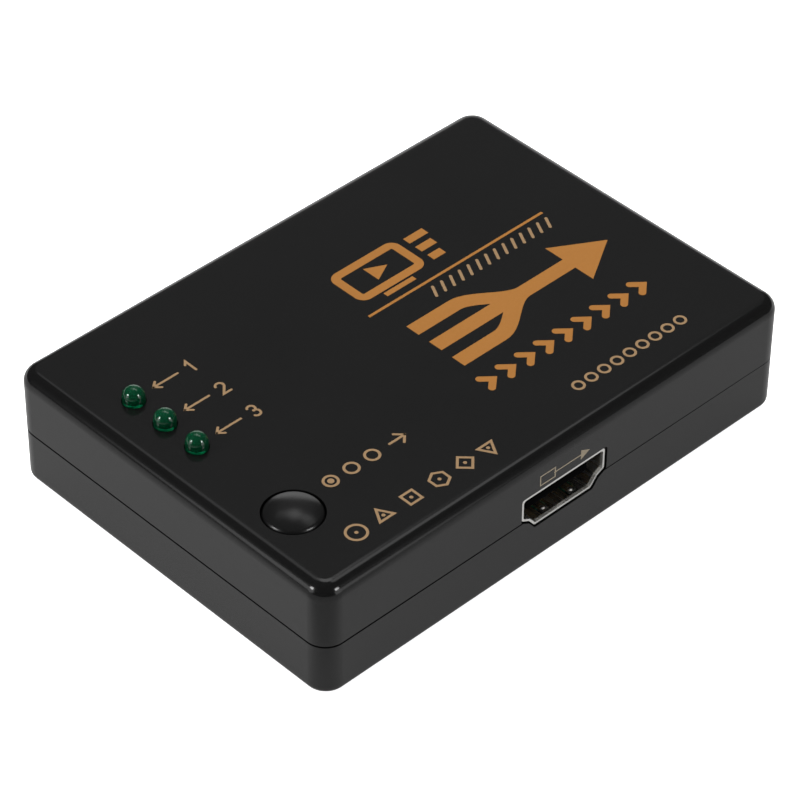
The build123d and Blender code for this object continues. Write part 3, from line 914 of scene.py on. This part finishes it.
copper_ink = ink("copper_ink", (0.262, 0.104, 0.014), (0.226, 0.089, 0.011))
fine_ink = ink("fine_ink", (0.222, 0.138, 0.066), (0.183, 0.112, 0.054))
print("inks mixed")

# %% [markdown]
# Strokes of ink
#
# Each mark is a stroke of one pen or a small plate. A stroke could be a Blender curve with
# a bevel, but its corners come out pinched. Here the two edges are worked out from the
# points, with mitred corners, and the film has a top, an underside and sides, so that
# its mesh is closed. Marks are measured in plain millimetres, and the film makes them metres.

# %% Arcs and circles
arc_step = math.radians(9)


def arc(middle_x, middle_y, radius, start, end):
    """Points along an arc, with angles in degrees."""
    first, last = math.radians(start), math.radians(end)
    count = max(2, math.ceil(abs(last - first) / arc_step))
    angles = [first + (last - first) * step / count for step in range(count + 1)]
    return [(middle_x + radius * math.cos(a), middle_y + radius * math.sin(a)) for a in angles]


def circle(x, y, radius):
    """Points round a full circle, with the first one not repeated."""
    return arc(x, y, radius, 0, 360)[:-1]


print("a circle has", len(circle(0, 0, 1)), "points")

# %% The edges of a stroke
longest_mitre_share = 0.35


def joint_offsets(points, half, closed):
    """For each point of a stroke, the sideways step to its edge, mitred at corners."""
    steps = []
    last = len(points) - 1
    for index, (x, y) in enumerate(points):
        ways = []
        if index > 0 or closed:
            before = points[index - 1]
            ways.append(Vector((x - before[0], y - before[1])).normalized())
        if index < last or closed:
            after = points[(index + 1) % len(points)]
            ways.append(Vector((after[0] - x, after[1] - y)).normalized())
        sides = [Vector((-way.y, way.x)) for way in ways]
        middle = sum(sides, Vector((0, 0))).normalized()
        steps.append(middle * half / max(middle.dot(sides[0]), longest_mitre_share))
    return steps


print("a mitre is at most", round(1 / longest_mitre_share, 2), "half widths long")

# %% A film of ink
film_rise = 0.015 * MM
film_root = 0.010 * MM
layer_rise = 0.001 * MM


class Film:
    """A print of one ink: strokes and plates, in millimetres, gathered into one mesh."""

    def __init__(self, name, material):
        self.name = name
        self.material = material
        self.mesh = bmesh.new()
        self.layer = 0

    def heights(self):
        """Top and underside of the film, where each stroke lies a hair over the last."""
        return lid_top + film_rise + self.layer * layer_rise, lid_top - film_root

    def prism(self, outline):
        """A thin plate with a convex outline."""
        high, low = self.heights()
        top = [self.mesh.verts.new((x * MM, y * MM, high)) for x, y in outline]
        under = [self.mesh.verts.new((x * MM, y * MM, low)) for x, y in outline]
        self.mesh.faces.new(top)
        self.mesh.faces.new(reversed(under))
        for index in range(len(outline)):
            after = (index + 1) % len(outline)
            self.mesh.faces.new((under[index], under[after], top[after], top[index]))

    def stroke(self, points, width, closed=False, round_ends=True):
        """A line of ink of an even width along the points."""
        half = width / 2
        offsets = joint_offsets(points, half, closed)
        high, low = self.heights()
        self.layer += 1
        rails = []
        for sign, height in ((1, high), (-1, high), (-1, low), (1, low)):
            rails.append([
                self.mesh.verts.new(((x + sign * step.x) * MM, (y + sign * step.y) * MM, height))
                for (x, y), step in zip(points, offsets)
            ])
        spans = len(points) if closed else len(points) - 1
        for index in range(spans):
            after = (index + 1) % len(points)
            for first, second in zip(rails, rails[1:] + rails[:1]):
                self.mesh.faces.new((first[index], second[index], second[after], first[after]))
        if not closed:
            self.mesh.faces.new([rail[0] for rail in rails])
            self.mesh.faces.new([rail[-1] for rail in reversed(rails)])
            if round_ends:
                for x, y in (points[0], points[-1]):
                    self.dot(x, y, half)

    def dot(self, x, y, radius):
        self.prism(circle(x, y, radius))

    def ring(self, x, y, radius, width):
        self.stroke(circle(x, y, radius), width, closed=True)

    def barbs(self, x, y, reach, half, width):
        """The two barbs of an arrow: they meet at (x, y) and reach away along X."""
        self.stroke([(x + reach, y + half), (x, y), (x + reach, y - half)], width)

    def done(self):
        bmesh.ops.recalc_face_normals(self.mesh, faces=self.mesh.faces)
        piece = finished(self.mesh, self.name, Vector((0, 0, 0)))
        for polygon in piece.data.polygons:
            polygon.use_smooth = False
        added(piece, self.material)


print("film rises", round(film_rise / MM, 3), "mm over the lid")

# %% [markdown]
# Numbers beside the lamps
#
# Each lamp has its number on the lid, and an arrow that points at it. A text object could
# make the digits, but a font has a weight of its own. Drawn with arcs and straight
# lines, they have the same pen as the other marks.

# %% Numbers and pointers
number_height = 2.1
number_width = 1.25
number_stroke = 0.34
number_left = -25.0
number_lift = 0.2
pointer_tip = -30.6
pointer_tail = -26.6
pointer_reach = 0.8
pointer_half = 0.7


def numeral(digit, x, y):
    """The strokes of 1, 2 or 3, standing on (x, y), as shares of a digit's size."""
    wide, tall = number_width, number_height
    if digit == 1:
        stem = x + 0.5 * wide
        return [[(x + 0.1 * wide, y + 0.74 * tall), (stem, y + tall), (stem, y)]]
    if digit == 2:
        bowl = 0.46 * wide
        curve = arc(x + 0.5 * wide, y + tall - bowl, bowl, 165, -38)
        return [curve + [(x + 0.02 * wide, y), (x + wide, y)]]
    middle = x + 0.48 * wide
    upper = 0.255 * tall
    lower = 0.27 * tall
    return [
        arc(middle, y + tall - upper, upper, 150, -90),
        arc(middle, y + lower, lower, 90, -150),
    ]


for digit, name in enumerate(lamp_names, start=1):
    level = lamp_centres[name].y / MM + number_lift
    film = Film(f"print_number_{digit}", fine_ink)
    for points in numeral(digit, number_left, level - number_height / 2):
        film.stroke(points, number_stroke)
    film.done()
    pointer = Film(f"print_pointer_{digit}", fine_ink)
    pointer.stroke([(pointer_tip, level), (pointer_tail, level)], number_stroke)
    pointer.barbs(pointer_tip, level, pointer_reach, pointer_half, number_stroke)
    pointer.done()
print("lamp numbers printed")

# %% [markdown]
# Sign beside the button
#
# Three rings and an arrow say what the button does: it steps from one input to the next,
# and the ring with a dot stands for the chosen one. A plate with holes would look the
# same, but rings are closed strokes of the same fine pen as the numbers.

# %% Rings and arrow
fine_line = 0.36
sign_y = -14.5
sign_start = -27.3
sign_pitch = 3.5
sign_radius = 0.95
sign_dot = 0.45
sign_rings = 3
arrow_gap = 0.4
arrow_length = 2.6
arrow_barb = 1.0

first_ring = sign_start + sign_radius
arrow_start = sign_start + sign_rings * sign_pitch + arrow_gap
arrow_end = arrow_start + arrow_length
film = Film("print_button_sign", fine_ink)
for index in range(sign_rings):
    film.ring(first_ring + index * sign_pitch, sign_y, sign_radius, fine_line)
film.dot(first_ring, sign_y, sign_dot)
film.stroke([(arrow_start, sign_y), (arrow_end, sign_y)], fine_line)
film.barbs(arrow_end, sign_y, -arrow_barb, arrow_barb, fine_line)
film.done()
print("button sign printed")

# %% [markdown]
# Large signs
#
# A screen with three bars beside it stands over a long rule. The screen could be a plate
# with a hole, but one closed stroke round a rounded rectangle keeps its frame even.

# %% Screen sign
screen_left = 0.7
screen_right = 11.3
screen_low = 8.4
screen_high = 14.1
screen_corner = 0.9
screen_stroke = 1.3
play_rise = 3.0
play_half = 1.5
play_back = 1.1
play_front = 1.9
foot_y = 7.0
foot_half = 2.6
foot_stroke = 0.8


def rounded_rectangle(left, right_side, low, high, radius):
    """Points round a rectangle, with an arc at each corner."""
    corners = (
        (right_side - radius, high - radius, 0), (left + radius, high - radius, 90),
        (left + radius, low + radius, 180), (right_side - radius, low + radius, 270),
    )
    points = []
    for x, y, start in corners:
        points += arc(x, y, radius, start, start + 90)
    return points


film = Film("print_screen_sign", copper_ink)
film.stroke(
    rounded_rectangle(screen_left, screen_right, screen_low, screen_high, screen_corner),
    screen_stroke, closed=True,
)
middle_x = (screen_left + screen_right) / 2
play_y = screen_low + play_rise
film.prism([
    (middle_x - play_back, play_y - play_half),
    (middle_x + play_front, play_y),
    (middle_x - play_back, play_y + play_half),
])
foot = [(middle_x - foot_half, foot_y), (middle_x + foot_half, foot_y)]
film.stroke(foot, foot_stroke, round_ends=False)
film.done()
print("screen sign printed")

# %% Bars and rule
bar_left = 13.1
bar_lift = 0.2
bar_pitch = 2.3
bar_length = 2.2
bar_growth = 0.6
bar_stroke = 1.3
bar_count = 3
rule_left = -1.25
rule_right = 30.6
rule_y = 5.25
rule_stroke = 0.42

film = Film("print_bars", copper_ink)
for index in range(bar_count):
    y = screen_low + bar_lift + index * bar_pitch
    bar_right = bar_left + bar_length + bar_growth * index
    film.stroke([(bar_left, y), (bar_right, y)], bar_stroke, round_ends=False)
film.done()

film = Film("print_rule", copper_ink)
film.stroke([(rule_left, rule_y), (rule_right, rule_y)], rule_stroke, round_ends=False)
film.done()
print("bars and rule printed")

# %% [markdown]
# Three routes that join into one
#
# The largest sign shows what the box is for: three lines swing together and leave as one
# arrow. Straight lines with sharp bends would do, but a line that eases in and out of
# its bend looks drawn by hand, and its formula is short.

# %% Routes and arrow head
route_width = 2.3
route_left = 0.9
route_bend = 8.4
route_join = 17.0
route_middle = -4.85
route_gap = 4.2
head_base = 25.4
head_tip = 32.7
head_half = 4.4
bend_steps = 14


def route(start_y):
    """A line that runs level, swings smoothly to the middle and ends where they join."""
    points = [(route_left, start_y), (route_bend, start_y)]
    for step in range(1, bend_steps):
        share = step / bend_steps
        ease = share * share * (3 - 2 * share)
        x = route_bend + (route_join - route_bend) * share
        points.append((x, start_y + (route_middle - start_y) * ease))
    points.append((route_join, route_middle))
    return points


film = Film("print_routes", copper_ink)
for side in (-1, 1):
    film.stroke(route(route_middle + side * route_gap), route_width, round_ends=False)
film.stroke([(route_left, route_middle), (head_base, route_middle)], route_width, round_ends=False)
film.layer += 1
film.prism([
    (head_base, route_middle - head_half),
    (head_tip, route_middle),
    (head_base, route_middle + head_half),
])
film.done()
print("routes printed")

# %% [markdown]
# Rows of small marks
#
# Slashes, chevrons and rings fill three long rows. Each row could be an array modifier on
# one mark, but a loop keeps the row in one film with its pitch in plain sight.

# %% Slashes, chevrons and rings
slash_y = 3.15
slash_start = 8.1
slash_pitch = 1.62
slash_count = 14
slash_half = 0.85
slash_lean = 0.9
slash_stroke = 0.42
chevron_y = -14.5
chevron_start = 0.4
chevron_pitch = 3.45
chevron_count = 9
chevron_half = 1.15
chevron_reach = 1.3
chevron_stroke = 1.0
ring_y = -22.8
ring_start = 8.7
ring_pitch = 2.35
ring_count = 9
ring_radius = 0.75

film = Film("print_slashes", fine_ink)
for index in range(slash_count):
    x = slash_start + index * slash_pitch
    film.stroke([(x, slash_y - slash_half), (x + slash_lean, slash_y + slash_half)], slash_stroke)
film.done()

film = Film("print_chevrons", copper_ink)
for index in range(chevron_count):
    tip = chevron_start + index * chevron_pitch + chevron_reach
    film.barbs(tip, chevron_y, -chevron_reach, chevron_half, chevron_stroke)
film.done()

film = Film("print_rings", fine_ink)
for index in range(ring_count):
    film.ring(ring_start + index * ring_pitch, ring_y, ring_radius, fine_line)
film.done()
print("rows printed")

# %% [markdown]
# Six plain signs by the front edge
#
# A row of small outlines, each with a dot, ends the print. They are all regular shapes,
# so one function of the number of corners and the turn draws them, and the round one
# simply has many corners.

# %% Six plain signs
round_corners = 40
outline_places = [-30.4, -25.9, -21.2, -16.4, -12.0, -8.0]
outline_shapes = [(round_corners, 0), (3, 90), (4, 45), (6, 30), (4, 0), (3, -90)]
outline_y = -23.4
outline_radius = 1.35
outline_dot = 0.26


def regular(corners, x, y, radius, turn):
    """Corners of a regular outline."""
    angles = [math.radians(turn + 360 * step / corners) for step in range(corners)]
    return [(x + radius * math.cos(a), y + radius * math.sin(a)) for a in angles]


for number, (x, shape) in enumerate(zip(outline_places, outline_shapes), start=1):
    corners, turn = shape
    outline = regular(corners, x, outline_y, outline_radius, turn)
    film = Film(f"print_sign_{number}", fine_ink)
    film.stroke(outline, fine_line, closed=True)
    film.dot(x, outline_y, outline_dot)
    film.done()
print("six signs printed")
